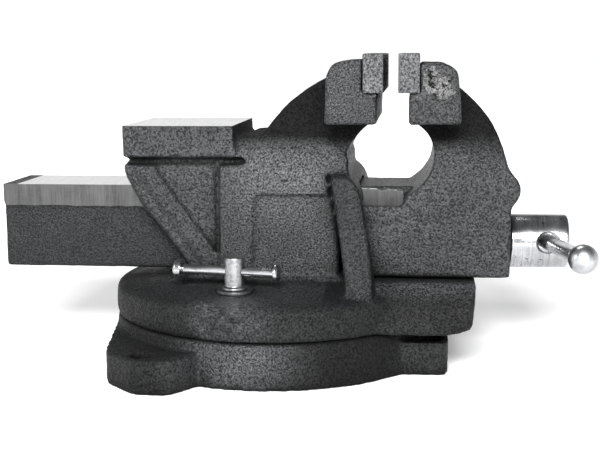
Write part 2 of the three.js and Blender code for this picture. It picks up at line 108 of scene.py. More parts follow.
FLOOR_HALF = 6.0
FLOOR_DROP = 0.4 * MM
floor_mesh = bpy.data.meshes.new("studio_table")
floor_mesh.from_pydata(
    [(x * FLOOR_HALF, y * FLOOR_HALF, -FLOOR_DROP) for x, y in ((-1, -1), (1, -1), (1, 1), (-1, 1))],
    [], [(0, 1, 2, 3)])
floor = bpy.data.objects.new("studio_table", floor_mesh)
bpy.context.scene.collection.objects.link(floor)
# Matt white paper, lit from within as it runs away, so that it meets the white room unseen.
paper, paper_tree, paper_shader = new_material("lit_white_table", roughness=0.9)
paper_shader.inputs["Base Color"].default_value = linear("#f2f2f2")
paper_shader.inputs["Emission Color"].default_value = linear("#ffffff")
paper_spot = add_node(paper_tree, "ShaderNodeTexCoord").outputs["Object"]
paper_away = add_node(paper_tree, "ShaderNodeVectorMath", {"operation": "LENGTH"}, Vector=paper_spot)
paper_glow = add_node(paper_tree, "ShaderNodeMapRange", {"interpolation_type": "SMOOTHSTEP"},
                      Value=paper_away.outputs["Value"], From_Min=0.25, From_Max=1.3, To_Min=0.2,
                      To_Max=1.0).outputs[0]
paper_tree.links.new(paper_glow, paper_shader.inputs["Emission Strength"])
floor_mesh.materials.append(paper)

world = bpy.data.worlds.new("studio_room")
bpy.context.scene.world = world
world.use_nodes = True
room = world.node_tree
towards = add_node(room, "ShaderNodeTexCoord").outputs["Generated"]
height = add_node(room, "ShaderNodeSeparateXYZ", Vector=towards).outputs["Z"]
overhead = add_node(room, "ShaderNodeMapRange", {"interpolation_type": "SMOOTHSTEP"}, Value=height,
                    From_Min=0.22, From_Max=0.62, To_Min=1.02, To_Max=0.16).outputs[0]
room.links.new(overhead, room.nodes["Background"].inputs["Strength"])
room.nodes["Background"].inputs["Color"].default_value = linear("#ffffff")
bpy.context.scene.view_settings.view_transform = "Standard"

OBJECT_MIDDLE = Vector((0.02, 0.0, 0.12))
for light_name, place, width, tall, watts in (
    ("front_softbox", (0.05, -1.6, 1.0), 0.8, 0.4, 70.0),
    ("left_softbox", (-1.55, -0.75, 0.75), 0.5, 0.6, 8.0),
    ("right_softbox", (0.50, -1.55, 0.42), 0.25, 0.3, 3.0),
    ("back_softbox", (-0.2, 0.9, 1.9), 0.7, 0.5, 9.0),
):
    light = bpy.data.lights.new(light_name, "AREA")
    light.shape = "RECTANGLE"
    light.energy = watts
    light.size = width
    light.size_y = tall
    lamp = bpy.data.objects.new(light_name, light)
    bpy.context.scene.collection.objects.link(lamp)
    aim = (OBJECT_MIDDLE - Vector(place)).to_track_quat("-Z", "Y").to_matrix().to_4x4()
    lamp.matrix_world = Matrix.Translation(place) @ aim


# ---- Swivel base: one iron casting -------------------------------------------------------
# The round plate with its four ears is grey iron poured in a green-sand mould. The sand leaves a
# pebbled skin and rounded edges. It has one coat of thin dark paint, and its top is turned flat.
def read_points(mesh):
    """The mesh's points as rows of x, y, z."""
    points = np.empty(len(mesh.vertices) * 3)
    mesh.vertices.foreach_get("co", points)
    return points.reshape(-1, 3)


def read_faces(mesh):
    """The middle of each face as rows of x, y, z, and each face's material slot."""
    centres = np.empty(len(mesh.polygons) * 3)
    mesh.polygons.foreach_get("center", centres)
    slots = np.empty(len(mesh.polygons), dtype=np.int32)
    mesh.polygons.foreach_get("material_index", slots)
    return centres.reshape(-1, 3), slots


def write_points(mesh, points):
    mesh.vertices.foreach_set("co", points.ravel())
    mesh.update()


def merged_copy(node, name):
    """A free copy of a CAD node's skin with its loose triangles merged."""
    mesh = frame["nodes"][node].data.copy()
    mesh.name = name
    skin = bmesh.new()
    skin.from_mesh(mesh)
    bmesh.ops.remove_doubles(skin, verts=skin.verts, dist=0.01 * MM)
    skin.to_mesh(mesh)
    skin.free()
    mesh.materials.clear()
    copy = bpy.data.objects.new(name, mesh)
    bpy.context.scene.collection.objects.link(copy)
    return copy


def applied(obj):
    """Replaces an object's mesh with the result of its modifiers."""
    depsgraph = bpy.context.evaluated_depsgraph_get()
    result = bpy.data.meshes.new_from_object(obj.evaluated_get(depsgraph))
    obj.modifiers.clear()
    old = obj.data
    obj.data = result
    bpy.data.meshes.remove(old)
    return obj


def lumps(points, size, seed):
    """Smooth random heights from -1 to 1: random values on a cube lattice of the given size,
    blended between the eight corners round each point by smoothed weights."""
    lattice = np.random.RandomState(seed).uniform(-1, 1, (32, 32, 32))
    scaled = points / size
    cell = np.floor(scaled).astype(int)
    part = scaled - cell
    part = part * part * (3 - 2 * part)
    total = np.zeros(len(points))
    for corner in np.ndindex(2, 2, 2):
        weight = np.prod(np.where(corner, part, 1 - part), axis=1)
        at = (cell + corner) % 32
        total += weight * lattice[at[:, 0], at[:, 1], at[:, 2]]
    return total


def sand_cast(obj, grain, soften, seed, relief=None, skin_mm=0.26):
    """Turns a crisp skin into a sand casting: remeshed in cubes of the grain size, its edges
    rounded by repeated smoothing, then pushed along its normals by coarse and fine lumps and by
    the casting's own relief, a function of the points."""
    remesh = obj.modifiers.new("remesh", "REMESH")
    remesh.mode = "VOXEL"
    remesh.voxel_size = grain
    smooth = obj.modifiers.new("soften", "SMOOTH")
    smooth.factor = 0.5
    smooth.iterations = soften
    applied(obj)
    points = read_points(obj.data)
    normals = np.empty(len(points) * 3)
    obj.data.vertices.foreach_get("normal", normals)
    normals = normals.reshape(-1, 3)
    rise = skin_mm * MM * lumps(points, 12 * MM, seed)
    rise += 0.6 * skin_mm * MM * lumps(points, 4.2 * MM, seed + 1)
    if relief is not None:
        rise += relief(points)
    write_points(obj.data, points + normals * rise[:, None])
    return obj


def mill(obj, axis, level, side, low, high, slot_index):
    """Cuts one flat face between the low and high corners: the skin is split at the plane where
    the axis coordinate is the level, what stands beyond it on the given side is laid onto the
    plane, and the flat faces take the material slot."""
    skin = bmesh.new()
    skin.from_mesh(obj.data)
    inside = [f for f in skin.faces
              if all(low[i] <= c <= high[i] for i, c in enumerate(f.calc_center_median()))]
    edges = {e for f in inside for e in f.edges}
    verts = {v for f in inside for v in f.verts}
    normal = Vector([side if i == axis else 0.0 for i in range(3)])
    origin = Vector([level if i == axis else 0.0 for i in range(3)])
    cut = bmesh.ops.bisect_plane(skin, geom=inside + list(edges) + list(verts), dist=0.02 * MM,
                                 plane_co=origin, plane_no=normal)
    touched = {g for g in cut["geom"] if isinstance(g, bmesh.types.BMVert) and g.is_valid}
    flat = {v for v in touched if (v.co[axis] - level) * side > -0.03 * MM}
    for vert in flat:
        vert.co[axis] = level
    for face in {f for v in flat for f in v.link_faces}:
        if all(v in flat for v in face.verts):
            face.material_index = slot_index
    bmesh.ops.dissolve_degenerate(skin, edges=skin.edges, dist=0.01 * MM)
    skin.to_mesh(obj.data)
    skin.free()
    obj.data.update()


def shade(obj, sharp_degrees=None):
    """Smooth shading, broken at edges sharper than the angle."""
    mesh = obj.data
    mesh.polygons.foreach_set("use_smooth", np.ones(len(mesh.polygons), bool))
    if sharp_degrees is not None:
        mesh.set_sharp_from_angle(angle=math.radians(sharp_degrees))
    mesh.update()


def finish_piece(obj, body, node):
    """Puts a finished piece on its body in place of its CAD node."""
    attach(obj, body)
    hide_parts(node)


def cast_iron_material(name, paint, worn_and_glint, roughness=0.32, grain_mm=1.5, depth_mm=1.0, shift=0.0,
                       shades=(), specular=0.19):
    """Painted sand-cast iron. The paint pools in the pebbled skin and thins on its peaks, which are
    lighter: partly the iron showing through, partly a painted glint. It is a dark semi-gloss coat
    with bright grit at the size of coarse sand.
    Light and shade are also held in the colour. Inside corners, seams between pieces and faces
    close under other pieces are darkened as painted shade, by how closed in they are with every
    piece at rest, so a piece that moves takes its dark corners along. A shade (axis, start, end,
    factor, reach) scales the colour along an axis, from 1 at the start to the factor at the end,
    within reach of the middle, and ("near", centre, radius, factor) does so round a point. Shades
    were set for the look from the front and aren't differences in the paint."""
    material, tree, shader = new_material(name, roughness, metallic=0.12)
    where = add_node(tree, "ShaderNodeTexCoord").outputs["Object"]
    xyz = {axis.name: axis for axis in add_node(tree, "ShaderNodeSeparateXYZ", Vector=where).outputs}
    place = add_node(tree, "ShaderNodeMapping", Vector=where, Location=(shift, shift, shift)).outputs[0]
    pebbles = add_node(tree, "ShaderNodeTexNoise", Vector=place, Scale=1000 / grain_mm, Detail=2.0,
                       Roughness=0.55).outputs["Fac"]
    grit = add_node(tree, "ShaderNodeTexNoise", Vector=place, Scale=2600 / grain_mm,
                    Detail=1.0).outputs["Fac"]
    patches = add_node(tree, "ShaderNodeTexNoise", Vector=place, Scale=24.0,
                       Detail=4.0).outputs["Fac"]
    relief = add_node(tree, "ShaderNodeMath", {"operation": "MULTIPLY_ADD"}, i0=grit, i1=0.3,
                      i2=pebbles).outputs[0]
    peaks = add_node(tree, "ShaderNodeMapRange", Value=relief, From_Min=0.5, From_Max=0.84).outputs[0]
    # The peaks' lighter colour is partly thin paint over iron and partly a painted glint.
    tint = add_node(tree, "ShaderNodeMix", {"data_type": "RGBA"}, i0=peaks, i6=linear(paint),
                    i7=linear(worn_and_glint)).outputs[2]
    strength = add_node(tree, "ShaderNodeMapRange", Value=patches, From_Min=0.3, From_Max=0.7,
                        To_Min=0.8, To_Max=1.2).outputs[0]
    # Painted shade: the colour darkens where this piece or its neighbours close in within 20 mm.
    open_air = add_node(tree, "ShaderNodeAmbientOcclusion", {"samples": 6},
                        Distance=20 * MM).outputs["AO"]
    corners = add_node(tree, "ShaderNodeMapRange", Value=open_air, From_Min=0.35, From_Max=0.9,
                       To_Min=0.05, To_Max=1.0).outputs[0]
    strength = add_node(tree, "ShaderNodeMath", {"operation": "MULTIPLY"}, i0=strength,
                        i1=corners).outputs[0]
    across = add_node(tree, "ShaderNodeMath", {"operation": "ABSOLUTE"}, i0=xyz["Y"]).outputs[0]
    for kind, start, end, factor, *reach in shades:
        along, within = xyz.get(kind), 1.0
        if kind == "near":
            along = add_node(tree, "ShaderNodeVectorMath", {"operation": "DISTANCE"}, i0=where,
                             i1=start).outputs["Value"]
            start, end = end, 0.3 * end
        else:
            within = add_node(tree, "ShaderNodeMath", {"operation": "LESS_THAN"}, i0=across,
                              i1=reach[0]).outputs[0]
        fade = add_node(tree, "ShaderNodeMapRange", {"interpolation_type": "SMOOTHSTEP"}, Value=along,
                        From_Min=start, From_Max=end, To_Min=0.0, To_Max=1.0).outputs[0]
        amount = add_node(tree, "ShaderNodeMath", {"operation": "MULTIPLY"}, i0=fade,
                          i1=within).outputs[0]
        scale = add_node(tree, "ShaderNodeMapRange", Value=amount, To_Min=1.0,
                         To_Max=factor).outputs[0]
        strength = add_node(tree, "ShaderNodeMath", {"operation": "MULTIPLY"}, i0=strength,
                            i1=scale).outputs[0]
    colour = add_node(tree, "ShaderNodeVectorMath", {"operation": "SCALE"}, i0=tint,
                      Scale=strength).outputs[0]
    tree.links.new(colour, shader.inputs["Base Color"])
    shader.inputs["Specular IOR Level"].default_value = specular
    gloss = add_node(tree, "ShaderNodeMapRange", Value=pebbles, From_Min=0.35, From_Max=0.65,
                     To_Min=roughness + 0.2, To_Max=roughness - 0.06).outputs[0]
    dull = add_node(tree, "ShaderNodeMapRange", Value=strength, From_Min=0.0, From_Max=0.8,
                    To_Min=0.5, To_Max=0.0).outputs[0]
    gloss = add_node(tree, "ShaderNodeMath", {"operation": "ADD", "use_clamp": True}, i0=gloss,
                     i1=dull).outputs[0]
    tree.links.new(gloss, shader.inputs["Roughness"])
    bump = add_node(tree, "ShaderNodeBump", Strength=1.0, Distance=depth_mm * MM, Height=relief)
    tree.links.new(bump.outputs[0], shader.inputs["Normal"])
    return material


def worked_metal(name, light, dark, streak_mm, roughness=0.3, metallic=0.9, stain=None,
                 stain_from=0.62, depth_mm=0.03):
    """Bare or plated metal that a tool has worked: fine parallel marks whose size along x, y and
    z is given in mm (long where the tool ran), soft clouds where it has dulled, fine grit, and
    darker stains where their noise passes a level."""
    material, tree, shader = new_material(name, roughness, metallic)
    where = add_node(tree, "ShaderNodeTexCoord").outputs["Object"]
    streaks = add_node(tree, "ShaderNodeMapping", Vector=where,
                       Scale=[1000 / size for size in streak_mm]).outputs[0]
    marks = add_node(tree, "ShaderNodeTexNoise", Vector=streaks, Scale=1.0, Detail=3.0,
                     Roughness=0.7).outputs["Fac"]
    clouds = add_node(tree, "ShaderNodeTexNoise", Vector=where, Scale=60.0, Detail=4.0).outputs["Fac"]
    grit = add_node(tree, "ShaderNodeTexNoise", Vector=where, Scale=900.0, Detail=1.0).outputs["Fac"]
    mixed = add_node(tree, "ShaderNodeMath", {"operation": "MULTIPLY_ADD"}, i0=clouds, i1=0.8, i2=marks)
    mixed = add_node(tree, "ShaderNodeMath", {"operation": "MULTIPLY_ADD"}, i0=grit, i1=0.35,
                     i2=mixed.outputs[0]).outputs[0]
    weight = add_node(tree, "ShaderNodeMapRange", Value=mixed, From_Min=0.78, From_Max=1.4).outputs[0]
    colour = add_node(tree, "ShaderNodeMix", {"data_type": "RGBA"}, i0=weight, i6=linear(dark),
                      i7=linear(light)).outputs[2]
    if stain is not None:
        spots = add_node(tree, "ShaderNodeTexNoise", Vector=where, Scale=240.0, Detail=5.0,
                         Roughness=0.75).outputs["Fac"]
        spotted = add_node(tree, "ShaderNodeMapRange", Value=spots, From_Min=stain_from,
                           From_Max=stain_from + 0.05).outputs[0]
        colour = add_node(tree, "ShaderNodeMix", {"data_type": "RGBA"}, i0=spotted, i6=colour,
                          i7=linear(stain)).outputs[2]
    tree.links.new(colour, shader.inputs["Base Color"])
    gloss = add_node(tree, "ShaderNodeMapRange", Value=clouds, From_Min=0.3, From_Max=0.7,
                     To_Min=roughness - 0.07, To_Max=roughness + 0.1).outputs[0]
    tree.links.new(gloss, shader.inputs["Roughness"])
    bump = add_node(tree, "ShaderNodeBump", Strength=0.6, Distance=depth_mm * MM, Height=mixed)
    tree.links.new(bump.outputs[0], shader.inputs["Normal"])
    return material


# Thin black paint over pebbled iron: near black with grey grit. Its shades stand in for light:
# brighter at the near side and below the nose, darker to the right and at the left ear.
base_iron = cast_iron_material("sand_cast_iron_base", "#060607", "#3e3f40", shift=3.0, shades=(
    ("X", -10 * MM, 60 * MM, 0.16, 1.0), ("X", 90 * MM, 108 * MM, 3.0, 1.0),
    ("X", -40 * MM, -75 * MM, 0.3, 1.0), ("near", (-8 * MM, -131 * MM, 18 * MM), 45 * MM, 1.4)))
# Turned iron under old grease: a dull mid grey with rings too fine to count.
turned_joint = worked_metal("turned_iron_greasy", "#8c8c8c", "#4c4c4c", (0.8, 0.8, 40), 0.4)
base_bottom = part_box("swivel_base")[0][2]
swivel = next(j for j in frame["joints"] if j["name"] == "swivel")
joint_level = swivel["pos_m"][2]
STOCK = 3 * MM

swivel_base = sand_cast(merged_copy("swivel_base", "cast_swivel_base"), 1.9 * MM, 3, seed=11)
swivel_base.data.materials.append(base_iron)
swivel_base.data.materials.append(turned_joint)
mill(swivel_base, 2, joint_level, 1, (-1, -1, joint_level - STOCK), (1, 1, joint_level + STOCK), 1)
mill(swivel_base, 2, base_bottom, -1, (-1, -1, -STOCK), (1, 1, STOCK), 0)
shade(swivel_base, 50)
finish_piece(swivel_base, "base", "swivel_base")


# ---- Fixed body: one iron casting --------------------------------------------------------
# Anvil, neck, fixed jaw and round foot are one sand casting, painted. The anvil's top, the way
# for the slide and the foot's underside are machined. A rough patch swells from the foot's rim,
# as where a mould has been mended.
# Painted shade: the colour falls to 0.06 from 160 mm up to 180 mm high, within 52 mm of the middle, on the arms'
# swept tops.
UPPER_ARM_SHADE = ("Z", 160 * MM, 180 * MM, 0.06, 52 * MM)
# The same black paint. Its shades stand in for light: brighter on the neck, the rough patch and
# the nose, darker on the arms' swept tops and the foot.
body_iron = cast_iron_material("sand_cast_iron_body", "#060607", "#404142", shades=(
    UPPER_ARM_SHADE, ("Z", 66 * MM, 56 * MM, 0.35, 1.0),
    ("near", (-22 * MM, -130 * MM, 50 * MM), 42 * MM, 2.6),
    ("near", (128 * MM, -20 * MM, 52 * MM), 70 * MM, 2.4),
    ("near", (5 * MM, -62 * MM, 150 * MM), 62 * MM, 1.6)))
# The same paint made darker, for the shade on the front upright and in the throat.
shaded_frame_iron = cast_iron_material("sand_cast_iron_upright", "#060607", "#2a2b2c", roughness=0.4, shift=5.0)
# Milled iron, bare and dry: almost white, with the cutter's fine straight marks across it.
milled_top = worked_metal("milled_iron_top", "#f4f4f4", "#c6c6c6", (1.0, 60, 60), 0.3)
ANVIL_FRONT = -16 * MM
anvil_top = next(m for m in frame["record"]["mounts"] if m["name"] == "anvil_face")["pos_m"][2]
slide_rear, slide_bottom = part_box("moving_jaw")[0][0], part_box("moving_jaw")[0][2]
WAY_HALF = 34 * MM
MILL_BITE = 2 * MM


def mended_rim(points):
    """The rough patch on the rim: a rounded swelling under the front clamp screw, broken up by lumps,
    that dies out 30 mm to either side and is held to the rim's face."""
    beside = (points[:, 0] + 22 * MM) / (30 * MM)
    above = (points[:, 2] - 50 * MM) / (13 * MM)
    reach = np.clip(1 - beside ** 2, 0, 1) * np.clip(1 - above ** 2, 0, 1)
    on_rim = np.clip((np.hypot(points[:, 0], points[:, 1]) - 112 * MM) / (8 * MM), 0, 1)
    front = points[:, 1] < 0
    ragged = 0.7 + 1.1 * lumps(points, 7 * MM, 91) + 0.8 * lumps(points, 3.2 * MM, 92)
    return 2.9 * MM * np.sqrt(reach) * on_rim * front * ragged


fixed_body = merged_copy("fixed_body", "cast_fixed_body")
points = read_points(fixed_body.data)
on_anvil = (points[:, 2] > anvil_top - 2.2 * MM) & (points[:, 0] < ANVIL_FRONT - 4 * MM)
points[on_anvil, 2] += STOCK
write_points(fixed_body.data, points)
sand_cast(fixed_body, 1.9 * MM, 3, seed=21, relief=mended_rim)
for finish in (body_iron, milled_top, turned_joint, shaded_frame_iron):
    fixed_body.data.materials.append(finish)
mill(fixed_body, 2, anvil_top, 1, (-0.2, -0.1, anvil_top - MILL_BITE), (ANVIL_FRONT, 0.1, 0.3), 1)
foot_level = joint_level + 0.4 * MM
mill(fixed_body, 2, foot_level, -1, (-1, -1, foot_level - MILL_BITE), (1, 1, foot_level + STOCK), 2)
way_level = slide_bottom - 0.6 * MM
mill(fixed_body, 2, way_level, 1, (-1, -WAY_HALF, way_level - MILL_BITE),
     (1, WAY_HALF, way_level + MILL_BITE), 2)
centres, slots = read_faces(fixed_body.data)
# Painted shade: faces on the front upright and on the throat's inner wall take the darker paint of slot 3.
on_frame = (centres[:, 0] > 46 * MM) & (centres[:, 0] < 84 * MM) & (np.abs(centres[:, 1]) > 59 * MM)
slots[(slots == 0) & on_frame & (centres[:, 2] > 58 * MM) & (centres[:, 2] < 152 * MM)] = 3
facing = np.empty(len(slots) * 3)
fixed_body.data.polygons.foreach_get("normal", facing)
in_throat = (facing.reshape(-1, 3)[:, 0] > 0.6) & (centres[:, 0] > 54 * MM)
in_throat &= centres[:, 0] < 86 * MM
slots[(slots == 0) & in_throat & (centres[:, 2] > 137 * MM)] = 3
fixed_body.data.polygons.foreach_set("material_index", slots)
shade(fixed_body, 50)
finish_piece(fixed_body, "body", "fixed_body")


# ---- Moving jaw: one iron casting --------------------------------------------------------
# Jaw, arm and hollow slide are one sand casting. The rear of the slide's top and the guide
# strips are planed bright. A clump of paint has chipped off the block beside the front plate.
SLIDE_TOP, STRIP_HALF, STRIP_FOOT = 136.5 * MM, 32.15 * MM, 120.45 * MM
CHEEK_REAR = 104 * MM
# The jaw's paint is the body's, with the same painted shade on the arm's swept top; the
# slide's is made darker, for the shade that it stands in.
jaw_iron = cast_iron_material("sand_cast_iron_jaw", "#060607", "#404142", shift=2.0, shades=(UPPER_ARM_SHADE,))
shaded_slide_iron = cast_iron_material("sand_cast_iron_slide", "#060607", "#2a2b2c", roughness=0.4, shift=1.0)
# Planed iron a shade darker than the milled top, with upright tool marks.
planed_side = worked_metal("planed_iron_side", "#5c5c5c", "#3e3e3e", (1.3, 60, 30), 0.45)
# Broken paint with bare iron under it: bright glints and black pits side by side.
chipped_iron = worked_metal("chipped_bare_iron", "#646464", "#222222", (2.4, 2.4, 2.4), 0.34,
                            stain="#0c0c0c", stain_from=0.5, depth_mm=1.6)
CHIP_AT = Vector((128 * MM, -75 * MM, 217 * MM))
CRESCENT_AT = Vector((86 * MM, -50 * MM, 128 * MM))


def chipped(points):
    """1 inside the chipped clump and 0 outside: a disc about 13 mm in radius with a ragged rim,
    on the outer face only."""
    away = np.hypot(points[:, 0] - CHIP_AT.x, points[:, 2] - CHIP_AT.z)
    ragged = away + 5 * MM * lumps(points, 5 * MM, 51)
    return (ragged < 10 * MM) & (points[:, 1] < CHIP_AT.y + 3 * MM)


def blemishes(points):
    """The chips' facets, sunk and raised by sharp lumps, and one crescent-shaped run of metal on
    the cheek below the front strip: a ridge whose height falls off as a bell curve from a
    14 mm arc."""
    facets = chipped(points) * (1.1 * MM * lumps(points, 2.6 * MM, 52) - 0.6 * MM)
    beside = points[:, 0] - CRESCENT_AT.x
    away = np.hypot(beside, points[:, 2] - CRESCENT_AT.z)
    crescent = np.exp(-((away - 14 * MM) / (1.6 * MM)) ** 2) * (points[:, 2] < 117.5 * MM)
    crescent *= (np.abs(beside) < 9 * MM) & (points[:, 1] < CRESCENT_AT.y)
    return facets + 1.1 * MM * crescent


moving_jaw = merged_copy("moving_jaw", "cast_moving_jaw")
points = read_points(moving_jaw.data)
on_strip = (np.abs(np.abs(points[:, 1]) - STRIP_HALF) < 0.3 * MM) & (points[:, 0] < CHEEK_REAR)
on_top = (np.abs(points[:, 2] - SLIDE_TOP) < 1 * MM) & (points[:, 0] < CHEEK_REAR)
points[on_strip, 1] += np.sign(points[on_strip, 1]) * STOCK
points[on_top & (np.abs(points[:, 1]) < 36 * MM), 2] += STOCK
write_points(moving_jaw.data, points)
sand_cast(moving_jaw, 1.8 * MM, 3, seed=31, relief=blemishes)
for finish in (jaw_iron, milled_top, planed_side, chipped_iron, turned_joint, shaded_slide_iron):
    moving_jaw.data.materials.append(finish)
mill(moving_jaw, 2, SLIDE_TOP, 1, (-0.3, -0.05, SLIDE_TOP - MILL_BITE), (CHEEK_REAR, 0.05, 0.145), 1)
mill(moving_jaw, 2, slide_bottom, -1, (-1, -WAY_HALF, slide_bottom - MILL_BITE),
     (1, WAY_HALF, slide_bottom + MILL_BITE), 4)
for side in (-1, 1):
    near, far = sorted((side * 27 * MM, side * 40 * MM))
    mill(moving_jaw, 1, side * STRIP_HALF, side, (-0.3, near, STRIP_FOOT - 3 * MM),
         (CHEEK_REAR, far, 0.142), 2)
centres, slots = read_faces(moving_jaw.data)
unmilled = (centres[:, 0] < slide_rear + 11 * MM) | (centres[:, 0] > 45 * MM)
slots[(slots == 1) & unmilled] = 0
slots[chipped(centres) & (slots == 0)] = 3
# Painted shade: the slide's faces within the way, short of the jaw, take the darker paint of slot 5.
slots[(slots == 0) & (np.abs(centres[:, 1]) < 33.5 * MM) & (centres[:, 0] < 68 * MM)] = 5
moving_jaw.data.polygons.foreach_set("material_index", slots)
shade(moving_jaw, 50)
finish_piece(moving_jaw, "jaw", "moving_jaw")


# ---- Jaw plates --------------------------------------------------------------------------
# Two cast iron blocks bedded in the steps of the jaws. Their sides keep the cast skin with a thin
# greyish coat, and the gripping faces are cut with crossed grooves.
# A thin greyish coat on cast iron: lighter than the castings, with the same pebbles.
plate_iron = cast_iron_material("cast_iron_jaw_plate", "#1c1d1e", "#606162", roughness=0.38, shift=7.0)
# Bare metal dulled by work: a mid grey with dark spots.
grip_steel = worked_metal("grooved_gripping_face", "#6e6e6e", "#3c3c3c", (1, 1, 1), 0.4,
                          stain="#2a2a2a")
GROOVE_PITCH, GROOVE_WIDTH, GROOVE_DEPTH = 4.2 * MM, 1.5 * MM, 0.7 * MM


def crossed_grooves(points):
    """How deep the gripping face is cut at each point: the deeper of two families of V grooves
    that run at 45 degrees up and down across the face."""
    depth = np.zeros(len(points))
    for way in (1, -1):
        across = (points[:, 1] + way * points[:, 2]) / GROOVE_PITCH
        off = np.abs(across - np.round(across)) * GROOVE_PITCH
        depth = np.maximum(depth, np.clip(1 - off / (GROOVE_WIDTH / 2), 0, 1))
    return GROOVE_DEPTH * depth


for which, body, away in (("fixed", "body", -1), ("moving", "jaw", 1)):
    node = which + "_jaw_plate"
    low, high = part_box(node)
    grip_x = high[0] if away < 0 else low[0]
    plate = sand_cast(merged_copy(node, "cast_" + node), 0.75 * MM, 6, seed=41 + away, skin_mm=0.12)
    points = read_points(plate.data)
    on_face = np.abs(points[:, 0] - grip_x) < 0.6 * MM
    points[on_face, 0] = grip_x + away * crossed_grooves(points[on_face])
    write_points(plate.data, points)
    plate.data.materials.append(plate_iron)
    plate.data.materials.append(grip_steel)
    on_face = np.abs(read_faces(plate.data)[0][:, 0] - grip_x) < 0.9 * MM
    plate.data.polygons.foreach_set("material_index", on_face.astype(np.int32))
    shade(plate)
    finish_piece(plate, body, node)


# ---- Spindle -----------------------------------------------------------------------------
# A steel screw with a plain round head, turned in one piece and zinc plated. The head has a
# loose cross hole for the handle; grease and grime have stained the plating in spots.
def rounded(profile, ring):
    """The profile's points with each corner that has a radius replaced by a curve between the
    points where the radius leaves the two sides."""
    out = []
    count = len(profile)
    for i, (radius, along, *corner) in enumerate(profile):
        here = np.array((radius, along), float)
        at_end = not ring and i in (0, count - 1)
        if at_end or not corner:
            out.append(here)
            continue
        before = np.array(profile[i - 1][:2], float) - here
        after = np.array(profile[(i + 1) % count][:2], float) - here
        cut = min(corner[0], 0.48 * np.hypot(*before), 0.48 * np.hypot(*after))
        start = here + before / np.hypot(*before) * cut
        end = here + after / np.hypot(*after) * cut
        for t in np.linspace(0, 1, 6):
            out.append((1 - t) ** 2 * start + 2 * t * (1 - t) * here + t * t * end)
    return np.array(out)


def mesh_object(name, verts, faces, material=None):
    mesh = bpy.data.meshes.new(name)
    mesh.from_pydata([tuple(v) for v in verts], [], faces)
    skin = bmesh.new()
    skin.from_mesh(mesh)
    bmesh.ops.remove_doubles(skin, verts=skin.verts, dist=0.001 * MM)
    bmesh.ops.recalc_face_normals(skin, faces=skin.faces)
    skin.to_mesh(mesh)
    skin.free()
    obj = bpy.data.objects.new(name, mesh)
    bpy.context.scene.collection.objects.link(obj)
    if material is not None:
        mesh.materials.append(material)
    return obj


def lathe(name, profile, origin, axis, segments=80, ring=False, material=None):
    """A turned piece. Its points are origin + along * axis + radius * (cos a * u + sin a * v)
    for each profile point (radius, along, corner radius), in mm, and each angle a. A profile
    that starts and ends on the axis closes there; a ring profile closes on itself."""
    path = rounded(profile, ring) * MM
    axis = Vector(axis).normalized()
    u = axis.orthogonal().normalized()
    v = axis.cross(u)
    angles = np.arange(segments) / segments * 2 * math.pi
    circle = np.cos(angles)[:, None] * np.array(u) + np.sin(angles)[:, None] * np.array(v)
    verts = (np.array(origin) + path[:, 1, None, None] * np.array(axis)
             + path[:, 0, None, None] * circle).reshape(-1, 3)
    rows = len(path)
    faces = []
    for row in range(rows if ring else rows - 1):
        nxt = (row + 1) % rows
        for k in range(segments):
            m = (k + 1) % segments
            faces.append((row * segments + k, row * segments + m,
                          nxt * segments + m, nxt * segments + k))
    return mesh_object(name, verts, faces, material)


def bore(obj, *cutters):
    """Cuts each cutter out of the piece and removes the cutters."""
    for cutter in cutters:
        cut = obj.modifiers.new("bore", "BOOLEAN")
        cut.operation = "DIFFERENCE"
        cut.solver = "EXACT"
        cut.object = cutter
    applied(obj)
    for cutter in cutters:
        bpy.data.objects.remove(cutter)
    return obj


# Bright zinc with the lathe's fine rings round it, spotted dark by grease.
zinc_turned_x = worked_metal("zinc_plated_spindle", "#cfd0d2", "#85878a", (0.5, 30, 30), 0.2, 1.0,
                             stain="#4a4a4c", stain_from=0.6)
spindle_turn = next(j for j in frame["joints"] if j["name"] == "spindle_turn")
spindle_at = Vector((0, 0, spindle_turn["pos_m"][2]))
spindle_low, spindle_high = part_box("spindle")
handle_slide = next(j for j in frame["joints"] if j["name"] == "handle_slide")
handle_axis = Vector(handle_slide["axis"]).normalized()
PITCH = 6.0
SHAFT_R, THREAD_ROOT_R, HEAD_R, HEAD_REAR = 10.0, 8.0, 21.3, 188.0
HANDLE_HOLE_R, HANDLE_HOLE_MOUTH_R, PIN_HOLE_R = 7.7, 9.6, 2.2
HANDLE_HOLE_X = 217 * MM
tail, front = spindle_low[0] / MM, spindle_high[0] / MM


def threaded_shaft(start, stop, root, crest, segments=48, step=0.5):
    """The screw's surface: radius over angle a and distance x, flat at the crest and at the root
    with sloped flanks between, by a trapezoid wave of (x / pitch - a / full turn)."""
    xs = np.arange(start, stop + step / 2, step)
    angles = np.arange(segments) / segments * 2 * math.pi
    wave = (xs[:, None] / PITCH - angles[None, :] / (2 * math.pi)) % 1.0
    shape = np.clip((np.abs(wave - 0.5) - 0.17) / 0.14, 0, 1)
    ends = np.clip(np.minimum(xs - start, stop - xs) / 3.0, 0, 1)[:, None]
    radius = root + (crest - root) * shape * ends
    verts = np.stack([np.broadcast_to(xs[:, None], radius.shape), radius * np.cos(angles),
                      radius * np.sin(angles)], axis=-1).reshape(-1, 3) * MM
    verts += np.array(spindle_at)
    faces = []
    for row in range(len(xs) - 1):
        for k in range(segments):
            m = (k + 1) % segments
            faces.append((row * segments + k, row * segments + m, (row + 1) * segments + m,
                          (row + 1) * segments + k))
    return verts, faces, len(xs), segments


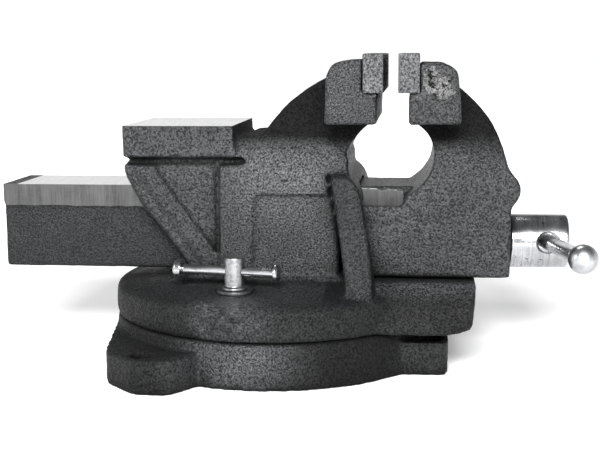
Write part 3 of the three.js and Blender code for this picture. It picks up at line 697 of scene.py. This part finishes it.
THREAD_START, THREAD_STOP = tail + 4, 128.0
spindle = lathe("turned_spindle_head", [
    (0, THREAD_STOP), (THREAD_ROOT_R, THREAD_STOP, 1), (SHAFT_R, THREAD_STOP + 3, 1),
    (SHAFT_R, HEAD_REAR, 0.8), (HEAD_R, HEAD_REAR, 1.6), (HEAD_R, front, 2.6), (0, front),
], spindle_at, (1, 0, 0), 96, material=zinc_turned_x)
hole_at = Vector((HANDLE_HOLE_X, 0, spindle_at.z))
hole_way = Vector((0, handle_axis.y, handle_axis.z)).normalized()
pin_low, pin_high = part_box("collar_pin")
pin_at = (Vector(pin_low) + Vector(pin_high)) / 2
pin_way = hole_way.cross(Vector((1, 0, 0)))
bore(spindle,
     lathe("cross_hole", [
         (0, -40), (HANDLE_HOLE_MOUTH_R, -40), (HANDLE_HOLE_MOUTH_R, -20.3), (HANDLE_HOLE_R, -18.4),
         (HANDLE_HOLE_R, 18.4), (HANDLE_HOLE_MOUTH_R, 20.3), (HANDLE_HOLE_MOUTH_R, 40), (0, 40),
     ], hole_at, hole_way, 64),
     lathe("pin_hole", [(0, -30), (PIN_HOLE_R, -30), (PIN_HOLE_R, 30), (0, 30)],
           Vector((pin_at.x, 0, spindle_at.z)), pin_way, 24))
thread_verts, thread_faces, rows, around = threaded_shaft(
    THREAD_START, THREAD_STOP + 1, THREAD_ROOT_R, SHAFT_R)
first, last = len(thread_verts), len(thread_verts) + 1
thread_verts = np.vstack([thread_verts, np.array(spindle_at) + (THREAD_START * MM, 0, 0),
                          np.array(spindle_at) + ((THREAD_STOP + 1) * MM, 0, 0)])
for k in range(around):
    m = (k + 1) % around
    thread_faces.append((first, m, k))
    thread_faces.append((last, (rows - 1) * around + k, (rows - 1) * around + m))
thread = mesh_object("spindle_thread", thread_verts, thread_faces, zinc_turned_x)
shade(thread, 40)
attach(thread, "screw")
shade(spindle, 32)
finish_piece(spindle, "screw", "spindle")


# ---- Handle bar and balls ----------------------------------------------------------------
# A drawn steel bar with a steel ball pressed on each end, all zinc plated and satin with wear.
# Drawn bar under zinc: bright, with long marks down its length.
zinc_drawn = worked_metal("zinc_plated_handle_bar", "#e2e3e5", "#a9abae", (1.2, 60, 1.2), 0.22, 1.0)
# Satin zinc, rubbed by hands: softer and greyer than the bar.
zinc_ball = worked_metal("zinc_plated_ball", "#c4c5c7", "#96989b", (6, 2, 6), 0.3, 1.0)
BAR_R, BALL_R, BAR_DEPTH = 6.0, 10.2, 5.0
SOCKET_R = BAR_R + 0.35
ball_centres = {}
for side, sign in (("front", -1), ("back", 1)):
    low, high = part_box("handle_ball_" + side)
    centre = (Vector(low) + Vector(high)) / 2
    centre.y = low[1] + BALL_R * MM if sign < 0 else high[1] - BALL_R * MM
    ball_centres[side] = centre
    turn = np.linspace(math.pi, 0.72, 20)
    ball_profile = [(BALL_R * math.sin(t), -BALL_R * math.cos(t)) for t in turn]
    ball_profile[0] = (0, BALL_R)
    ball_profile += [(7.3, -8.6, 1.2), (7.1, -11, 0.6), (SOCKET_R, -11, 0.4), (SOCKET_R, -BAR_DEPTH),
                     (0, -BAR_DEPTH)]
    ball = lathe("handle_ball_" + side + "_turned", ball_profile, centre, handle_axis * sign, 72,
                 material=zinc_ball)
    shade(ball, 40)
    finish_piece(ball, "handle", "handle_ball_" + side)
span = ball_centres["back"] - ball_centres["front"]
half_bar = span.length / 2 / MM - BAR_DEPTH
bar = lathe("drawn_handle_bar", [
    (0, -half_bar), (BAR_R, -half_bar, 0.8), (BAR_R, half_bar, 0.8), (0, half_bar),
], (ball_centres["front"] + ball_centres["back"]) / 2, span, 64, material=zinc_drawn)
shade(bar, 40)
finish_piece(bar, "handle", "handle_bar")


# ---- Clamp screws and their cross bars ---------------------------------------------------
# Each clamp screw is a turned stud with a flange and a round head drilled across for a loose
# bar. The bar has one end upset into a flange and a like cap pressed on the other. All are zinc
# plated.
# Zinc grown dull and mottled on the stud, brighter and streaked lengthwise on its cross bar.
zinc_stud = worked_metal("zinc_plated_clamp_stud", "#b2b3b5", "#707173", (3, 3, 2.2), 0.36, 1.0,
                         stain="#5e5e5e", stain_from=0.64)
zinc_cross = worked_metal("zinc_plated_cross_bar", "#cfd0d2", "#8f9193", (40, 1.0, 1.0), 0.25, 1.0)
# Zinc under oil and dust: a dull dark grey.
dull_zinc = worked_metal("oily_zinc_washer", "#77787a", "#3c3d3f", (1, 1, 20), 0.4, 0.9)
CROSS_BAR_R, CROSS_HOLE_R, FLANGE_R, CAP_R = 3.8, 4.3, 7.2, 7.4
CROSS_BAR_REACH = 34.5
CAP_HALF = 3.0
WASHER_R, WASHER_HOLE_R = 13.5, 5.5
for side in ("front", "back"):
    clamp_turn = next(j for j in frame["joints"] if j["name"] == "clamp_turn_" + side)
    bar_slide = next(j for j in frame["joints"] if j["name"] == "clamp_bar_slide_" + side)
    foot = Vector((clamp_turn["pos_m"][0], clamp_turn["pos_m"][1], 0))
    along = Vector(bar_slide["axis"]).normalized()
    low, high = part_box("clamp_screw_" + side)
    washer_low, washer_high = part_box("clamp_washer_" + side)
    bottom, top = low[2] / MM, high[2] / MM
    seat = washer_high[2] / MM + 0.3
    cap_low, cap_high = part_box("clamp_bar_cap_" + side)
    cap_middle = (Vector(cap_low) + Vector(cap_high)) / 2
    cross_at = Vector((foot.x, foot.y, cap_middle.z))
    stud = lathe("turned_clamp_stud_" + side, [
        (0, bottom), (5, bottom, 1.2), (5, seat, 0.3), (9.6, seat, 0.5), (9.6, seat + 1.6, 0.5),
        (7.6, seat + 2.4, 0.8), (7.4, top, 1.4), (0, top),
    ], foot, (0, 0, 1), 72, material=zinc_stud)
    bore(stud, lathe("cross_bar_hole", [
        (0, -15), (CROSS_HOLE_R, -15), (CROSS_HOLE_R, 15), (0, 15),
    ], cross_at, along, 40))
    shade(stud, 35)
    finish_piece(stud, "clamp_" + side, "clamp_screw_" + side)
    cap_end = (cap_middle - cross_at).dot(along) / MM
    sign = 1 if cap_end < 0 else -1
    far_end = sign * CROSS_BAR_REACH
    rod = lathe("cross_bar_" + side, [
        (0, cap_end), (CROSS_BAR_R, cap_end, 0.3), (CROSS_BAR_R, far_end - sign * 3.4, 0.4),
        (FLANGE_R, far_end - sign * 3.0, 0.5), (FLANGE_R, far_end - sign * 1.4, 0.6),
        (FLANGE_R - 1, far_end, 0.5), (0, far_end),
    ], cross_at, along, 48, material=zinc_cross)
    shade(rod, 35)
    finish_piece(rod, "clamp_handle_" + side, "clamp_bar_" + side)
    inner = cap_end + sign * CAP_HALF
    outer = cap_end - sign * CAP_HALF
    cap = lathe("cross_bar_cap_" + side, [
        (0, outer), (6.0, outer, 0.6), (FLANGE_R, outer + sign * 1.6, 0.6),
        (CAP_R, inner - sign * 1.8, 0.5), (CAP_R, inner, 0.5), (CROSS_BAR_R + 0.3, inner, 0.3),
        (CROSS_BAR_R + 0.3, cap_end - sign * 0.3, 0.1), (0, cap_end - sign * 0.3),
    ], cross_at, along, 56, material=zinc_cross)
    shade(cap, 35)
    finish_piece(cap, "clamp_handle_" + side, "clamp_bar_cap_" + side)
    washer = lathe("clamp_washer_turned_" + side, [
        (WASHER_HOLE_R, washer_low[2] / MM, 0.3), (WASHER_R, washer_low[2] / MM, 0.4),
        (WASHER_R, washer_high[2] / MM, 0.5), (WASHER_HOLE_R, washer_high[2] / MM, 0.3),
    ], foot, (0, 0, 1), 72, ring=True, material=dull_zinc)
    shade(washer, 35)
    finish_piece(washer, "body", "clamp_washer_" + side)


# ---- Thrust washer, collar and pin -------------------------------------------------------
# Behind the spindle's head a steel washer takes the push; inside the jaw a black collar, held by
# a cross pin, pulls the jaw back out.
# Blackened steel: blue-black with a soft oily sheen.
black_oxide = worked_metal("black_oxide_steel", "#55565a", "#2c2d30", (2, 2, 2), 0.38, 0.85)
BORE_R, THRUST_R, COLLAR_R, COLLAR_PIN_R = 10.4, 19.0, 16.0, 1.9
low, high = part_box("thrust_washer")
thrust_washer = lathe("turned_thrust_washer", [
    (BORE_R, low[0] / MM, 0.3), (THRUST_R, low[0] / MM, 0.5),
    (THRUST_R, high[0] / MM, 0.5), (BORE_R, high[0] / MM, 0.3),
], spindle_at, (1, 0, 0), 72, ring=True, material=dull_zinc)
shade(thrust_washer, 35)
finish_piece(thrust_washer, "jaw", "thrust_washer")
low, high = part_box("retaining_collar")
collar = lathe("turned_retaining_collar", [
    (BORE_R, low[0] / MM, 0.6), (COLLAR_R, low[0] / MM, 1.2),
    (COLLAR_R, high[0] / MM, 1.2), (BORE_R, high[0] / MM, 0.6),
], spindle_at, (1, 0, 0), 72, ring=True, material=black_oxide)
bore(collar, lathe("collar_pin_hole", [
    (0, -30), (PIN_HOLE_R + 0.05, -30), (PIN_HOLE_R + 0.05, 30), (0, 30),
], pin_at, pin_way, 24))
shade(collar, 35)
finish_piece(collar, "screw", "retaining_collar")
pin = lathe("collar_pin_ground", [
    (0, -COLLAR_R), (COLLAR_PIN_R, -COLLAR_R, 0.5), (COLLAR_PIN_R, COLLAR_R, 0.5), (0, COLLAR_R),
], pin_at, pin_way, 24, material=zinc_drawn)
shade(pin, 35)
finish_piece(pin, "screw", "collar_pin")


# ---- Plate screws ------------------------------------------------------------------------
# Two socket-head screws, blackened steel, sunk below the gripping face of each plate.
SCREW_HEAD_R, SCREW_HEAD_DEEP, SCREW_R, SOCKET_KEY_R = 7.5, 6.0, 4.0, 3.4
for which, body, away in (("fixed", "body", -1), ("moving", "jaw", 1)):
    for side in ("front", "back"):
        node = which + "_plate_screw_" + side
        low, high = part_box(node)
        middle = (Vector(low) + Vector(high)) / 2
        face, tip = (high[0], low[0]) if away < 0 else (low[0], high[0])
        length = abs(face - tip) / MM
        screw = lathe("socket_screw_" + which + "_" + side, [
            (0, 0), (SCREW_HEAD_R, 0, 1.0), (SCREW_HEAD_R, SCREW_HEAD_DEEP, 0.3),
            (SCREW_R, SCREW_HEAD_DEEP, 0.6), (SCREW_R, length, 0.8), (0, length),
        ], (face, middle.y, middle.z), (away, 0, 0), 48, material=black_oxide)
        bore(screw, lathe("hex_socket", [(0, -2), (SOCKET_KEY_R, -2), (SOCKET_KEY_R, 3.5), (0, 3.5)],
                          (face, middle.y, middle.z), (away, 0, 0), 6))
        shade(screw, 35)
        finish_piece(screw, body, node)


# ---- Hidden fastenings -------------------------------------------------------------------
# The bronze spindle nut and its bolt, the pivot bolt and washer, and the tee nuts in the base's
# groove: plain machined pieces whose edges are broken with a small chamfer. The tee nuts' is wide,
# for room in the rough groove, though one still grazes it a quarter turn round.
# Cast bronze, machined all over: a warm brown-gold that no other piece has.
cast_bronze = worked_metal("cast_bronze_nut", "#b98f57", "#7c5a32", (2, 2, 2), 0.4, 1.0)
for node, body, slot_name, edge_mm, metal in (
    ("spindle_nut", "body", "bronze", 0.8, cast_bronze),
    ("nut_bolt", "body", "zinc_steel", 0.4, zinc_stud),
    ("pivot_bolt", "base", "zinc_steel", 0.5, zinc_stud),
    ("pivot_washer", "base", "zinc_steel", 0.3, zinc_stud),
    ("clamp_tee_nut_front", "body", "black_steel", 2.8, black_oxide),
    ("clamp_tee_nut_back", "body", "black_steel", 2.8, black_oxide),
):
    piece = merged_copy(node, node + "_edged")
    edge = piece.modifiers.new("broken_edges", "BEVEL")
    edge.width = edge_mm * MM
    edge.segments = 2
    edge.limit_method = "ANGLE"
    edge.angle_limit = math.radians(50)
    applied(piece)
    piece.data.materials.append(metal)
    shade(piece, 35)
    finish_piece(piece, body, node)
